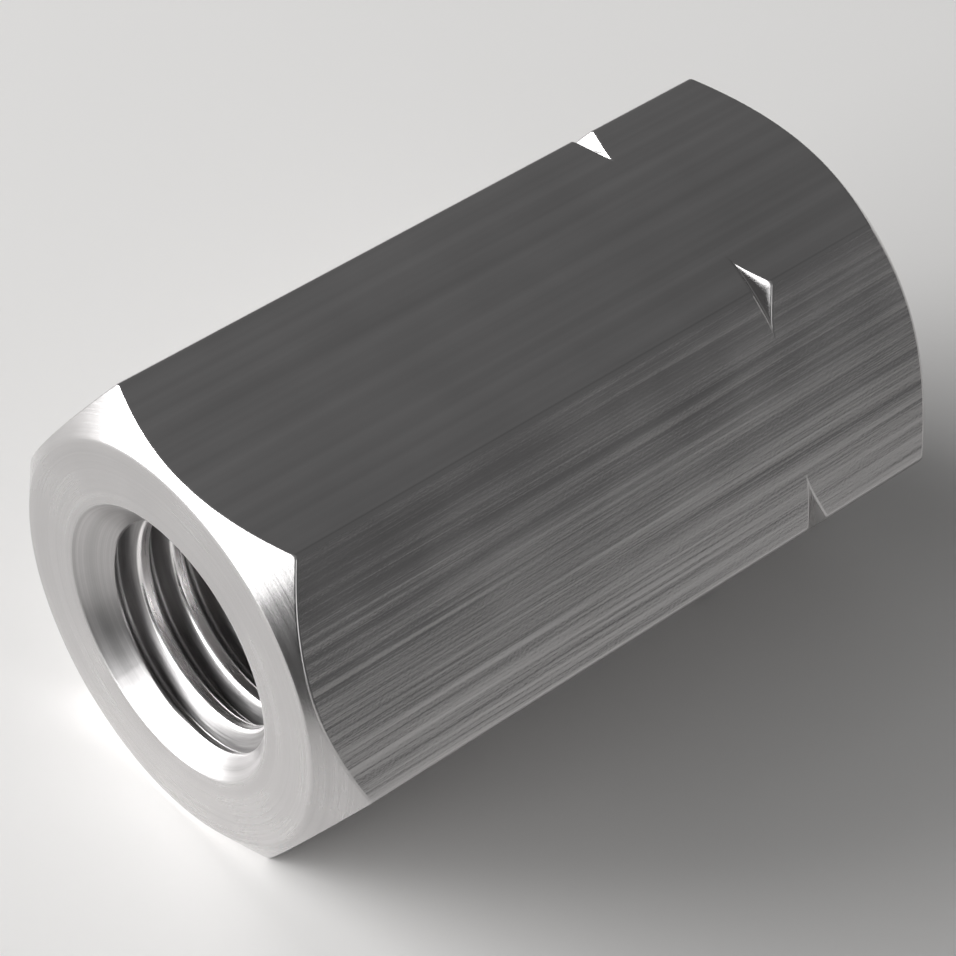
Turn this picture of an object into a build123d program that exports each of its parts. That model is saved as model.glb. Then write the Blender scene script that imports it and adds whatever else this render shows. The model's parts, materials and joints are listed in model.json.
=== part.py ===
from build123d import *

import os
from math import cos, pi, tan, radians

# Hexagonal coupling nut, M10 x 1.5, right-hand thread in one end and left-hand thread in the
# other, marked by a groove turned round the corners. It joins two threaded rods or studs, and
# tightens or loosens both when it is turned.
#
# The nut is one piece of cold-drawn steel bar: cut to length, chamfered and grooved on a lathe,
# then drilled through, countersunk and tapped from both ends.
#
# Frame, in millimetres: the origin is the middle of the nut, on the thread's axis. +X runs along
# the axis to the left-hand end. The nut lies on a flat, so +Z is up, square to two of the flats,
# and two of the corners point along +Y and -Y.

# Bar
ACROSS_FLATS = 17.0
LENGTH = 30.0
CORNER_RADIUS = 0.25  # left along the corners by the drawing die

# Thread, the same size at both ends
THREAD_DIAMETER = 10.0
THREAD_PITCH = 1.5

# Turned ends
FACE_INSET = 0.4  # from the flats in to the rim of the turned end face
CHAMFER_ANGLE = 38.0  # degrees, between the chamfer and the end face
COUNTERSINK_OVERSIZE = 1.1  # by how much the countersink's mouth is wider than the thread
COUNTERSINK_ANGLE = 90.0  # degrees, included

# Groove that marks the left-hand end
GROOVE_FROM_END = 6.9  # from the end face to the middle of the groove
GROOVE_ANGLE = 70.0  # degrees, included
GROOVE_FLOOR_ABOVE_FLATS = 0.6  # so the groove only cuts the corners

# Values that follow from the sizes above
TAP_DRILL_DIAMETER = THREAD_DIAMETER - THREAD_PITCH
FACE_RADIUS = ACROSS_FLATS / 2 - FACE_INSET
COUNTERSINK_RADIUS = (THREAD_DIAMETER + COUNTERSINK_OVERSIZE) / 2
GROOVE_FLOOR_RADIUS = ACROSS_FLATS / 2 + GROOVE_FLOOR_ABOVE_FLATS
SWING_RADIUS = ACROSS_FLATS / 2 / cos(pi / 6) + 1.0  # clear of the bar's corners


def revolved(points):
    """Turn a closed profile of (x, radius) points about the thread's axis."""
    profile = make_face(Polyline(points, close=True))
    return revolve(profile, Axis.X)


def drawn_bar():
    """A length of hexagonal bar with its corners slightly rounded, centred on the origin."""
    section = RegularPolygon(ACROSS_FLATS / 2, 6, major_radius=False)
    section = fillet(section.vertices(), CORNER_RADIUS)
    return extrude(Plane.YZ * section, LENGTH / 2, both=True)


def turned_outside():
    """The space inside the lathe's cuts: flat ends with a chamfer round each rim."""
    end = LENGTH / 2
    chamfer = (SWING_RADIUS - FACE_RADIUS) * tan(radians(CHAMFER_ANGLE))
    return revolved(
        [
            (-end, 0),
            (-end, FACE_RADIUS),
            (-end + chamfer, SWING_RADIUS),
            (end - chamfer, SWING_RADIUS),
            (end, FACE_RADIUS),
            (end, 0),
        ]
    )


def marking_groove():
    """The V ring that is cut from the corners near the left-hand end."""
    middle = LENGTH / 2 - GROOVE_FROM_END
    half_width = (SWING_RADIUS - GROOVE_FLOOR_RADIUS) * tan(radians(GROOVE_ANGLE / 2))
    return revolved(
        [
            (middle, GROOVE_FLOOR_RADIUS),
            (middle + half_width, SWING_RADIUS),
            (middle - half_width, SWING_RADIUS),
        ]
    )


def drilled_hole():
    """The tap-drill hole through the nut, with a countersink at each end."""
    end = LENGTH / 2
    drill_radius = TAP_DRILL_DIAMETER / 2
    depth = (COUNTERSINK_RADIUS - drill_radius) / tan(radians(COUNTERSINK_ANGLE / 2))
    return revolved(
        [
            (-end, 0),
            (-end, COUNTERSINK_RADIUS),
            (-end + depth, drill_radius),
            (end - depth, drill_radius),
            (end, COUNTERSINK_RADIUS),
            (end, 0),
        ]
    )


def coupling_nut():
    return (drawn_bar() & turned_outside()) - marking_groove() - drilled_hole()


os.makedirs("parts", exist_ok=True)
export_step(coupling_nut(), "parts/coupling_nut.step")
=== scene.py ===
import json
from math import cos, pi, radians, sin, tan

import bpy
from mathutils import Matrix, Vector


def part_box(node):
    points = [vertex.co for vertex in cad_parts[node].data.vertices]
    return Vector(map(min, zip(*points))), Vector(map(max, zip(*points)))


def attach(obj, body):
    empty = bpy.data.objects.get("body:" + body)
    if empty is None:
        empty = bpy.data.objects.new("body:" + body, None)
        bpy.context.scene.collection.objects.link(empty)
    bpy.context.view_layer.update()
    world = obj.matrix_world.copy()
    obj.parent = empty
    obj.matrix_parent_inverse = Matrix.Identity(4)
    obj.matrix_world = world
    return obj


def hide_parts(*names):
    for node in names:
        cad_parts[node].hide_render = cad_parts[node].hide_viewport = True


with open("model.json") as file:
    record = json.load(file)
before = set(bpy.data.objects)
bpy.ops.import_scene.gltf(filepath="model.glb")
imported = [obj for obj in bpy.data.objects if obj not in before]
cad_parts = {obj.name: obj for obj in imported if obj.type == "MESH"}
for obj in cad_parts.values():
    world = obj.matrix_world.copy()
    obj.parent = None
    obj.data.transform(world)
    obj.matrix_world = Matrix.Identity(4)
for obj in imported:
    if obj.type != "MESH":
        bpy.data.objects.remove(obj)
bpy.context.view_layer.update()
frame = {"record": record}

# A hexagonal coupling nut with a right-hand thread in its plain end and a left-hand thread in
# its grooved end. The thread's axis is X, the grooved end is at +X, and the nut lies on a flat.

# ---- Sizes, in metres ----

MM = 0.001

low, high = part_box("coupling_nut")
mounts = {mount["name"]: mount for mount in frame["record"]["mounts"]}

LENGTH = high.x - low.x
ACROSS_FLATS = high.z - low.z
CORNER_RADIUS = 0.25 * MM  # along the six corners of the drawn bar
FACE_INSET = 0.4 * MM  # from the flats in to the rim of the turned end face
CHAMFER_ANGLE = radians(38)  # between the chamfer and the end face

THREAD_RADIUS = 5.0 * MM
PITCH = 1.5 * MM
FLANK_SLOPE = tan(radians(60))  # rise of the radius for each metre along the axis
ROOT_FLAT = 1 / 8  # width of the thread's flat root, in pitches
CREST_RADIUS = mounts["right_hand_thread"]["dims"]["r_mm"] * MM
THREAD_START = -0.08  # where the thread starts at the end face, in turns from the first column
COUNTERSINK_RADIUS = THREAD_RADIUS + 0.55 * MM
COUNTERSINK_SLOPE = tan(radians(45))  # fall of the radius for each metre of depth

GROOVE_FROM_END = 6.9 * MM
GROOVE_FLOOR_RADIUS = ACROSS_FLATS / 2 + 0.6 * MM
GROOVE_SLOPE = tan(radians(35))  # half its opening for each metre of depth

EDGE = 0.09 * MM  # how far the rounding of a worn edge reaches along each side
EDGE_SHARE = 0.45  # the most that it takes of a narrow band
CREST_SOFTNESS = 0.22 * MM  # how far the wear of the thread's crests reaches
CUT_SOFTNESS = 0.05 * MM  # the same where the thread meets its root, its lead or the countersink
TAP_LEAD_SLOPE = tan(radians(10))  # the tap's tapered lead, where the thread runs out
PLAIN_HALF = 0.9 * MM  # half of the unthreaded stretch in the middle

FLAT_STEPS = 26  # columns across each flat
CORNER_STEPS = 4  # columns round each corner
EDGE_STEPS = 4  # rows over a worn edge
PITCH_STEPS = 20  # rows for each turn of the thread
SPARE_TURNS = 3  # turns of rows past the half nut's own, which its two ends cut off square
ROUND_UP = 0.001  # keeps a whole number of sides from being rounded down
WELD = 0.001 * MM

# ---- The steel's finish ----

# Grey levels
STEEL_LEVEL = 0.6
BORE_LEVEL = 0.46
THREAD_LEVEL = 0.36
# The thread's crests are raised to white: a painted highlight along the thread.
CREST_HIGHLIGHT_LEVEL = 1.0
STEEL_WHITE = (1.0, 0.98, 0.98, 1.0)  # the colour of level 1

# How much the marks change the grey level
LINES_CONTRAST = 0.38
RINGS_CONTRAST = 0.35
BORE_CONTRAST = 0.9
HANDLING_CONTRAST = 0.2

DRAWN_ROUGHNESS = 0.115
TURNED_ROUGHNESS = 0.26
BORE_ROUGHNESS = 0.36
CREST_ROUGHNESS = 0.28
MARKS_ROUGHNESS = 0.16  # how much the marks change the roughness
HANDLING_ROUGHNESS = 0.14

LINES_DEPTH = 0.011 * MM
RINGS_DEPTH = 0.005 * MM
GRAIN_DEPTH = 0.0012 * MM

# ---- Nodes ----


class Value:
    """A node's output. Arithmetic on it adds Math nodes to the same tree."""

    def __init__(self, tree, socket):
        self.tree = tree
        self.socket = socket

    def math(self, operation, *others):
        return self.tree.math(operation, self, *others)

    def __add__(self, other):
        return self.tree.math("ADD", self, other)

    def __radd__(self, other):
        return self.tree.math("ADD", other, self)

    def __sub__(self, other):
        return self.tree.math("SUBTRACT", self, other)

    def __rsub__(self, other):
        return self.tree.math("SUBTRACT", other, self)

    def __mul__(self, other):
        return self.tree.math("MULTIPLY", self, other)

    def __rmul__(self, other):
        return self.tree.math("MULTIPLY", other, self)

    def __truediv__(self, other):
        return self.tree.math("DIVIDE", self, other)

    def __rtruediv__(self, other):
        return self.tree.math("DIVIDE", other, self)

    def __gt__(self, other):
        return self.tree.math("GREATER_THAN", self, other)


def grey(level):
    return (level, level, level, 1.0)


class Tree:
    """A node tree that is being built."""

    # A Mix node's two inputs and its output, for each kind of value
    MIX_SOCKETS = {"FLOAT": (2, 3, 0), "VECTOR": (4, 5, 1), "RGBA": (6, 7, 2)}

    def __init__(self, tree):
        self.tree = tree

    def node(self, kind, settings=None, sockets=None, output=0):
        """Add a node, set it up, feed its sockets and return one of its outputs."""
        node = self.tree.nodes.new(kind)
        for name, value in (settings or {}).items():
            if name == "stops":
                self.set_stops(node.color_ramp, value)
            else:
                setattr(node, name, value)
        for key, value in (sockets or {}).items():
            self.feed(node.inputs[key], value)
        return Value(self, node.outputs[output]) if node.outputs else None

    def set_stops(self, ramp, stops):
        """Give a ramp its (place, grey level) stops."""
        while len(ramp.elements) < len(stops):
            ramp.elements.new(1.0)
        for element, (place, level) in zip(ramp.elements, stops):
            element.position = place
            element.color = grey(level)

    def feed(self, socket, value):
        if isinstance(value, Value):
            self.tree.links.new(value.socket, socket)
        else:
            socket.default_value = value

    def math(self, operation, *values):
        return self.node("ShaderNodeMath", {"operation": operation}, dict(enumerate(values)))

    def vector_math(self, operation, *values, output=0):
        settings = {"operation": operation}
        return self.node("ShaderNodeVectorMath", settings, dict(enumerate(values)), output)

    def vector(self, x, y, z=0.0):
        return self.node("ShaderNodeCombineXYZ", None, {"X": x, "Y": y, "Z": z})

    def parts(self, vector):
        """The X, Y and Z of a vector."""
        sockets = {"Vector": vector}
        first = self.node("ShaderNodeSeparateXYZ", None, sockets)
        return [Value(self, socket) for socket in first.socket.node.outputs]

    def attribute(self, name):
        return self.node("ShaderNodeAttribute", {"attribute_name": name}, None, 2)

    def noise(self, place, scales, detail):
        """Noise over three values, each with its own number of grains for each metre."""
        vector = self.vector(*[value * scale for value, scale in zip(place, scales)])
        sockets = {"Vector": vector, "Scale": 1.0, "Detail": detail}
        return self.node("ShaderNodeTexNoise", None, sockets)

    def between(self, value, start, end):
        """How far a value has come from start (0) to end (1), eased."""
        settings = {"interpolation_type": "SMOOTHSTEP"}
        if start > end:
            return 1.0 - self.node("ShaderNodeMapRange", settings, {0: value, 1: end, 2: start})
        return self.node("ShaderNodeMapRange", settings, {0: value, 1: start, 2: end})

    def mix(self, factor, start, end, kind="FLOAT"):
        """A number, a vector or a colour between two others."""
        first, second, output = self.MIX_SOCKETS[kind]
        sockets = {0: factor, first: start, second: end}
        return self.node("ShaderNodeMix", {"data_type": kind}, sockets, output)


# ---- The nut's mesh ----


class NutTree(Tree):
    """Geometry Nodes that build the nut from grids bent round its axis.

    Each grid has a column for each step round the nut. Its rows run along the nut's lengthwise
    section, which is given by points of (place along the axis, radius).
    """

    def __init__(self, sizes):
        super().__init__(bpy.data.node_groups.new("coupling_nut_shape", "GeometryNodeTree"))
        self.sizes = {}
        self.add_interface(sizes)
        self.hole_start = self.sizes["Edge"] * 2  # depth where the outside's skin meets the hole's
        position = self.node("GeometryNodeInputPosition")
        across, along, _ = self.parts(position)
        self.columns = 6 * (FLAT_STEPS + CORNER_STEPS)
        self.column = across + self.columns / 2
        self.row_share = along + 0.5
        self.find_angle()
        self.find_outside_radius()

    def add_interface(self, sizes):
        interface = self.tree.interface
        interface.new_socket("Nut", in_out="OUTPUT", socket_type="NodeSocketGeometry")
        group = self.tree.nodes.new("NodeGroupInput")
        for name in sizes:
            interface.new_socket(name, in_out="INPUT", socket_type="NodeSocketFloat")
            self.sizes[name] = Value(self, group.outputs[name])

    def find_angle(self):
        """The angle of each column about the axis, counted from +Y towards +Z."""
        apothem = self.sizes["Across Flats"] / 2
        corner = self.sizes["Corner Radius"]
        self.flat_half = ((apothem - corner) * tan(pi / 6) / apothem).math("ARCTANGENT")
        steps = FLAT_STEPS + CORNER_STEPS
        side = (self.column / steps + ROUND_UP).math("FLOOR")
        step = self.column - side * steps
        on_flat = step.math("MINIMUM", FLAT_STEPS)
        on_corner = (step - FLAT_STEPS).math("MAXIMUM", 0.0)
        self.past_flat = step > FLAT_STEPS + 0.5
        self.from_flat = (
            on_flat * self.flat_half * (2 / FLAT_STEPS)
            - self.flat_half
            + on_corner * (pi / 3 - self.flat_half * 2) / CORNER_STEPS
        )
        self.angle = side * (pi / 3) + self.from_flat + pi / 6
        self.turn = (self.angle - pi / 6 + self.flat_half) / (2 * pi)

    def find_outside_radius(self):
        """The hexagon's radius at each column, round its corners included."""
        apothem = self.sizes["Across Flats"] / 2
        corner = self.sizes["Corner Radius"]
        centre = (apothem - corner) / cos(pi / 6)
        from_corner = self.from_flat - pi / 6
        offset = centre * from_corner.math("SINE")
        reach = (corner * corner - offset * offset).math("MAXIMUM", 0.0).math("SQRT")
        flat = apothem / self.from_flat.math("COSINE")
        rounded = centre * from_corner.math("COSINE") + reach
        self.outside = self.mix(self.past_flat, flat, rounded)

    def place(self, section_point):
        """Turn a point of the section to its column's angle."""
        along, radius, _ = self.parts(section_point)
        y = radius * self.angle.math("COSINE")
        z = radius * self.angle.math("SINE")
        return self.vector(along, y, z)

    def grid(self, rows):
        sockets = {0: float(self.columns), 1: 1.0, 2: self.columns + 1, 3: rows + 1}
        return self.node("GeometryNodeMeshGrid", None, sockets)

    def surface(self, rows, section_point, turned, tapped=0.0):
        """A band of faces, with how much of it was turned or tapped kept for its finish."""
        mesh = self.grid(rows)
        for name, value in (("turned", turned), ("tapped", tapped)):
            sockets = {"Geometry": mesh, "Name": name, "Value": value}
            mesh = self.node("GeometryNodeStoreNamedAttribute", None, sockets)
        sockets = {"Geometry": mesh, "Position": self.place(section_point)}
        return self.node("GeometryNodeSetPosition", None, sockets)

    def between_points(self, start, end):
        """The grid's rows laid out evenly from one point of the section to another."""
        return self.mix(self.row_share, start, end, "VECTOR")

    def towards(self, start, end, distance):
        """The point a distance from start on the way to end, and never past the half of it."""
        way = self.vector_math("SUBTRACT", end, start)
        length = self.vector_math("LENGTH", way, output=1)
        step = (length * EDGE_SHARE).math("MINIMUM", distance)
        direction = self.vector_math("NORMALIZE", way)
        scaled = self.node("ShaderNodeVectorMath", {"operation": "SCALE"}, {0: direction, 3: step})
        return self.vector_math("ADD", start, scaled)

    def outside_section(self):
        """The section's points from one countersink, round the outside, to the other."""
        half = self.sizes["Length"] / 2
        apothem = self.sizes["Across Flats"] / 2
        mouth = self.sizes["Countersink Radius"]
        face = apothem - self.sizes["Face Inset"]
        chamfer = (self.outside - face) * self.sizes["Chamfer Angle"].math("TANGENT")
        floor = self.outside.math("MINIMUM", self.sizes["Groove Floor Radius"])
        groove = half - self.sizes["Groove From End"]
        groove_half = (self.outside - floor) * GROOVE_SLOPE
        cone = mouth - self.hole_start * COUNTERSINK_SLOPE
        return [
            self.vector(self.hole_start - half, cone),
            self.vector(half * -1.0, mouth),
            self.vector(half * -1.0, face),
            self.vector(chamfer - half, self.outside),
            self.vector(groove - groove_half, self.outside),
            self.vector(groove, floor),
            self.vector(groove + groove_half, self.outside),
            self.vector(half - chamfer, self.outside),
            self.vector(half, face),
            self.vector(half, mouth),
            self.vector(half - self.hole_start, cone),
        ]

    def outside_skin(self):
        """The outside's bands: one between each two points, and one over each edge."""
        points = self.outside_section()
        cut = ((self.outside - self.sizes["Groove Floor Radius"]) / WELD).math("MAXIMUM", 0.0)
        cut = cut.math("MINIMUM", 1.0)
        finishes = [  # rows of each band, and how much of it is turned
            (1, 1.0),  # countersink
            (3, 1.0),  # end face
            (4, 1.0),  # chamfer
            (12, 0.0),  # flats
            (3, cut),  # groove
            (3, cut),
            (6, 0.0),  # flats
            (4, 1.0),  # chamfer
            (3, 1.0),  # end face
            (1, 1.0),  # countersink
        ]
        edge = self.sizes["Edge"]
        bands = []
        start = points[0]
        for i, (rows, turned) in enumerate(finishes[:-1]):
            before, corner, after = points[i : i + 3]
            end = self.towards(corner, before, edge)
            bands.append(self.surface(rows, self.between_points(start, end), turned))
            start = self.towards(corner, after, edge)
            turned_after = finishes[i + 1][1]
            bands.append(self.rounded_edge(end, corner, start, turned, turned_after))
        rows, turned = finishes[-1]
        bands.append(self.surface(rows, self.between_points(start, points[-1]), turned))
        return bands

    def rounded_edge(self, start, corner, end, turned_before, turned_after):
        first = self.between_points(start, corner)
        second = self.between_points(corner, end)
        turned = self.mix(self.row_share, turned_before, turned_after)
        return self.surface(EDGE_STEPS, self.between_points(first, second), turned)

    def threaded_half(self, far):
        """One half of the hole. The far half is the near one mirrored, which makes it left-hand."""
        half = self.sizes["Length"] / 2
        turns = int(LENGTH / 2 / PITCH) + SPARE_TURNS
        rows = turns * PITCH_STEPS
        pitch = self.sizes["Pitch"]
        depth = (self.row_share * turns + self.turn - 1.0) * pitch
        depth = depth.math("MAXIMUM", self.hole_start).math("MINIMUM", half)
        from_middle = half - depth
        phase = (depth / pitch - self.turn + self.sizes["Thread Start"]).math("FRACT")
        from_crest = (phase - 0.5).math("ABSOLUTE") * pitch
        crest = self.sizes["Crest Radius"]
        depth_of_thread = self.sizes["Thread Radius"] - crest
        crest_half = pitch * (0.5 - ROOT_FLAT / 2) - depth_of_thread / FLANK_SLOPE
        flank = crest + (from_crest - crest_half) * FLANK_SLOPE
        lead = crest + (from_middle - PLAIN_HALF) * TAP_LEAD_SLOPE
        thread = flank.math("SMOOTH_MIN", self.sizes["Thread Radius"], CUT_SOFTNESS)
        thread = thread.math("SMOOTH_MIN", lead, CUT_SOFTNESS)
        thread = thread.math("SMOOTH_MAX", crest, self.sizes["Crest Softness"])
        cone = self.sizes["Countersink Radius"] - depth * COUNTERSINK_SLOPE
        radius = thread.math("SMOOTH_MAX", cone, CUT_SOFTNESS)
        tapped = ((radius - cone) / CUT_SOFTNESS).math("MINIMUM", 1.0)
        along = from_middle if far else from_middle * -1.0
        return self.surface(rows, self.vector(along, radius), 1.0, tapped)

    def finish(self, material):
        """Weld the bands into one closed skin and give it its finish."""
        near = self.node("GeometryNodeFlipFaces", None, {0: self.threaded_half(far=False)})
        far = self.threaded_half(far=True)
        join = self.tree.nodes.new("GeometryNodeJoinGeometry")
        for band in [far, near, *self.outside_skin()]:
            self.tree.links.new(band.socket, join.inputs[0])
        sockets = {"Geometry": Value(self, join.outputs[0]), "Distance": WELD}
        welded = self.node("GeometryNodeMergeByDistance", None, sockets)
        real = self.node("GeometryNodeRealizeInstances", None, {0: welded})
        smooth = self.node("GeometryNodeSetShadeSmooth", None, {0: real})
        sockets = {"Geometry": smooth, "Material": material}
        coated = self.node("GeometryNodeSetMaterial", None, sockets)
        output = self.tree.nodes.new("NodeGroupOutput")
        self.tree.links.new(coated.socket, output.inputs[0])
        return self.tree


def steady_normals(mesh):
    """Let the largest faces decide each point's shading, so that flats stay flat to their ends."""
    normals = [Vector() for _ in mesh.vertices]
    for face in mesh.polygons:
        weighted = face.normal * (face.area / MM**2) ** 3
        for corner in face.vertices:
            normals[corner] += weighted
    mesh.normals_split_custom_set_from_vertices([normal.normalized() for normal in normals])


def plain_mesh(name, tree, sizes):
    """Run a node tree with its sizes and keep the result as a plain mesh object."""
    maker = bpy.data.objects.new(name + "_maker", bpy.data.meshes.new(name + "_maker"))
    bpy.context.scene.collection.objects.link(maker)
    modifier = maker.modifiers.new("Shape", "NODES")
    modifier.node_group = tree
    sockets = {item.name: item.identifier for item in tree.interface.items_tree}
    for size, value in sizes.items():
        modifier[sockets[size]] = value
    depsgraph = bpy.context.evaluated_depsgraph_get()
    mesh = bpy.data.meshes.new_from_object(maker.evaluated_get(depsgraph))
    maker.modifiers.remove(modifier)
    bpy.data.objects.remove(maker)
    mesh.name = name
    steady_normals(mesh)
    piece = bpy.data.objects.new(name, mesh)
    bpy.context.scene.collection.objects.link(piece)
    return piece


# ---- The steel ----


def new_material(name):
    material = bpy.data.materials.new(name)
    material.use_nodes = True
    material.node_tree.nodes.clear()
    return material, Tree(material.node_tree)


def drawn_steel():
    """Die lines along the drawn flats, lathe rings on what was turned, a darker and rougher tapped
    thread, and a painted highlight on its crests.
    """
    material, tree = new_material("drawn_steel")
    place = tree.node("ShaderNodeTexCoord", None, None, 3)
    x, y, z = tree.parts(place)
    radius = (y * y + z * z).math("SQRT")
    turned = tree.attribute("turned")
    tapped = tree.attribute("tapped")
    bored = tree.between(radius, COUNTERSINK_RADIUS + 0.07 * MM, COUNTERSINK_RADIUS - 0.05 * MM)
    # Where the painted highlight goes, along the crests of the tapped thread.
    crest = tapped * tree.between(radius, CREST_RADIUS + 0.14 * MM, CREST_RADIUS + 0.07 * MM)

    wide_lines = tree.noise((x, y, z), (45, 1900, 1900), detail=1.0)
    fine_lines = tree.noise((x, y, z), (120, 9000, 9000), detail=2.0)
    lines = wide_lines * 0.85 + fine_lines * 0.15
    wide_rings = tree.noise((radius, x, y), (4200, 4200, 60), detail=1.0)
    fine_rings = tree.noise((radius, x, z), (15000, 15000, 90), detail=2.0)
    rings = wide_rings * 0.5 + fine_rings * 0.5
    handling = tree.noise((x, y, z), (260, 260, 260), detail=4.0)
    grain = tree.noise((x, y, z), (9000, 9000, 9000), detail=3.0)
    marks = tree.mix(turned, lines, rings)

    level = tree.mix(bored, STEEL_LEVEL, BORE_LEVEL)
    level = tree.mix(tapped, level, THREAD_LEVEL)
    # The crests turn white: a painted highlight.
    level = tree.mix(crest, level, CREST_HIGHLIGHT_LEVEL)
    contrast = tree.mix(turned, LINES_CONTRAST, RINGS_CONTRAST)
    contrast = tree.mix(bored, contrast, BORE_CONTRAST)
    level = level * ((marks - 0.5) * contrast + (handling - 0.5) * HANDLING_CONTRAST + 1.0)
    colour = tree.mix(level, grey(0.0), STEEL_WHITE, "RGBA")

    roughness = tree.mix(turned, DRAWN_ROUGHNESS, TURNED_ROUGHNESS)
    roughness = tree.mix(bored, roughness, BORE_ROUGHNESS)
    roughness = tree.mix(crest, roughness, CREST_ROUGHNESS)
    roughness = (
        roughness + (marks - 0.5) * MARKS_ROUGHNESS + (handling - 0.5) * HANDLING_ROUGHNESS
    )

    depth = tree.mix(turned, LINES_DEPTH, RINGS_DEPTH)
    height = marks * depth + grain * GRAIN_DEPTH
    normal = tree.node("ShaderNodeBump", None, {"Height": height / MM, "Distance": MM})
    sockets = {"Base Color": colour, "Metallic": 1.0, "Roughness": roughness, "Normal": normal}
    steel = tree.node("ShaderNodeBsdfPrincipled", None, sockets)
    tree.node("ShaderNodeOutputMaterial", None, {"Surface": steel})
    return material


# ---- The studio ----


def stage_sheet(name, corners, material_name, colour, roughness):
    """One flat, painted face of the studio."""
    material, tree = new_material(material_name)
    sockets = {"Base Color": colour, "Roughness": roughness}
    paint = tree.node("ShaderNodeBsdfPrincipled", None, sockets)
    tree.node("ShaderNodeOutputMaterial", None, {"Surface": paint})
    mesh = bpy.data.meshes.new(name)
    mesh.from_pydata(corners, [], [(0, 1, 2, 3)])
    mesh.materials.append(material)
    sheet = bpy.data.objects.new(name, mesh)
    bpy.context.scene.collection.objects.link(sheet)
    return sheet


def floor():
    reach = 3.0
    corners = [(-reach, -reach), (reach, -reach), (reach, reach), (-reach, reach)]
    corners = [(x, y, low.z) for x, y in corners]
    sheet = stage_sheet("floor", corners, "pale_floor", (0.866, 0.856, 0.845, 1.0), 0.85)


def direction(azimuth, elevation):
    """A unit vector at an angle from +X towards +Y, and an angle above the floor, in degrees."""
    turn = Matrix.Rotation(radians(azimuth), 3, "Z") @ Matrix.Rotation(-radians(elevation), 3, "Y")
    return turn @ Vector((1, 0, 0))


def lamp(name, azimuth, elevation, distance, width, height, power):
    light = bpy.data.lights.new(name, "AREA")
    light.shape = "RECTANGLE"
    light.size = width
    light.size_y = height
    light.energy = power
    holder = bpy.data.objects.new(name, light)
    away = direction(azimuth, elevation)
    holder.location = away * distance
    holder.rotation_euler = away.to_track_quat("Z", "Y").to_euler()
    bpy.context.scene.collection.objects.link(holder)


def dark_card():
    """A black card that stands beside the view, for the bright end to mirror a dark edge."""
    away = direction(204, 0)
    middle = away * 52 * MM
    side = Vector((-away.y, away.x, 0)) * 11.5 * MM
    top = Vector((0, 0, low.z + 26 * MM))
    foot = Vector((0, 0, low.z))
    corners = [middle - side + foot, middle + side + foot, middle + side + top, middle - side + top]
    card = stage_sheet("dark_card", corners, "black_card", grey(0.03), 0.9)
    card.visible_camera = False


def facing(tree, toward, azimuth, elevation):
    """The cosine between the look and a direction of the room."""
    middle = tuple(direction(azimuth, elevation))
    return tree.vector_math("DOT_PRODUCT", toward, middle, output=1)


def patch(tree, glow, toward, middle, full, none, level):
    """A round part of the room with its own level, from the cosine where it is full to none."""
    share = tree.between(facing(tree, toward, *middle), none, full)
    return tree.mix(share, glow, grey(level), "RGBA")


def room():
    world = bpy.data.worlds.new("room")
    world.use_nodes = True
    world.node_tree.nodes.clear()
    tree = Tree(world.node_tree)
    toward = tree.node("ShaderNodeTexCoord")
    open_side = facing(tree, toward, 90, 20) * 0.5 + 0.5
    stops = [(0.0, 0.09), (0.7, 0.11), (1.0, 0.19)]  # levels from the dark side to the open one
    glow = tree.node("ShaderNodeValToRGB", {"stops": stops}, {0: open_side})
    ceiling = {"middle": (225, 50), "full": 0.95, "none": 0.75, "level": 0.22}
    back_wall = {"middle": (-48, 34), "full": 0.9, "none": 0.72, "level": 0.135}
    doorway = {"middle": (247, 16), "full": 0.988, "none": 0.965, "level": 1.2}
    for place in (ceiling, back_wall, doorway):
        glow = patch(tree, glow, toward, **place)
    horizon = tree.between(tree.parts(toward)[2], sin(radians(1.2)), 0.0)
    glow = tree.mix(horizon, glow, grey(0.2), "RGBA")
    sky = tree.node("ShaderNodeBackground", None, {"Color": glow, "Strength": 1.0})
    tree.node("ShaderNodeOutputWorld", None, {"Surface": sky})
    bpy.context.scene.world = world


def camera():
    azimuth, elevation, roll = radians(-46.89), radians(47.57), radians(8.08)
    distance = 8.516 * ACROSS_FLATS
    turn = (
        Matrix.Rotation(azimuth, 4, "Z")
        @ Matrix.Rotation(pi / 2 - elevation, 4, "X")
        @ Matrix.Rotation(roll, 4, "Z")
    )
    eye_place = Vector((-0.2 * MM, -0.64 * MM, distance))  # sideways, up and back from the nut
    data = bpy.data.cameras.new("camera")
    data.lens = 145.8
    data.clip_start = 0.01
    eye = bpy.data.objects.new("camera", data)
    eye.matrix_world = turn @ Matrix.Translation(eye_place)
    bpy.context.scene.collection.objects.link(eye)
    bpy.context.scene.camera = eye


# ---- Putting it together ----

SIZES = {
    "Length": LENGTH,
    "Across Flats": ACROSS_FLATS,
    "Corner Radius": CORNER_RADIUS,
    "Face Inset": FACE_INSET,
    "Chamfer Angle": CHAMFER_ANGLE,
    "Countersink Radius": COUNTERSINK_RADIUS,
    "Thread Radius": THREAD_RADIUS,
    "Crest Radius": CREST_RADIUS,
    "Pitch": PITCH,
    "Thread Start": THREAD_START,
    "Crest Softness": CREST_SOFTNESS,
    "Groove From End": GROOVE_FROM_END,
    "Groove Floor Radius": GROOVE_FLOOR_RADIUS,
    "Edge": EDGE,
}

shape = NutTree(SIZES).finish(drawn_steel())
nut = plain_mesh("threaded_nut", shape, SIZES)
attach(nut, "root")
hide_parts("coupling_nut")

floor()
room()
lamp("window", azimuth=134, elevation=18, distance=0.9, width=0.66, height=0.5, power=8.4)
lamp("bright_wall", azimuth=146, elevation=18, distance=0.95, width=1.5, height=0.6, power=13.4)
dark_card()
camera()

scene = bpy.context.scene
scene.view_settings.view_transform = "Standard"
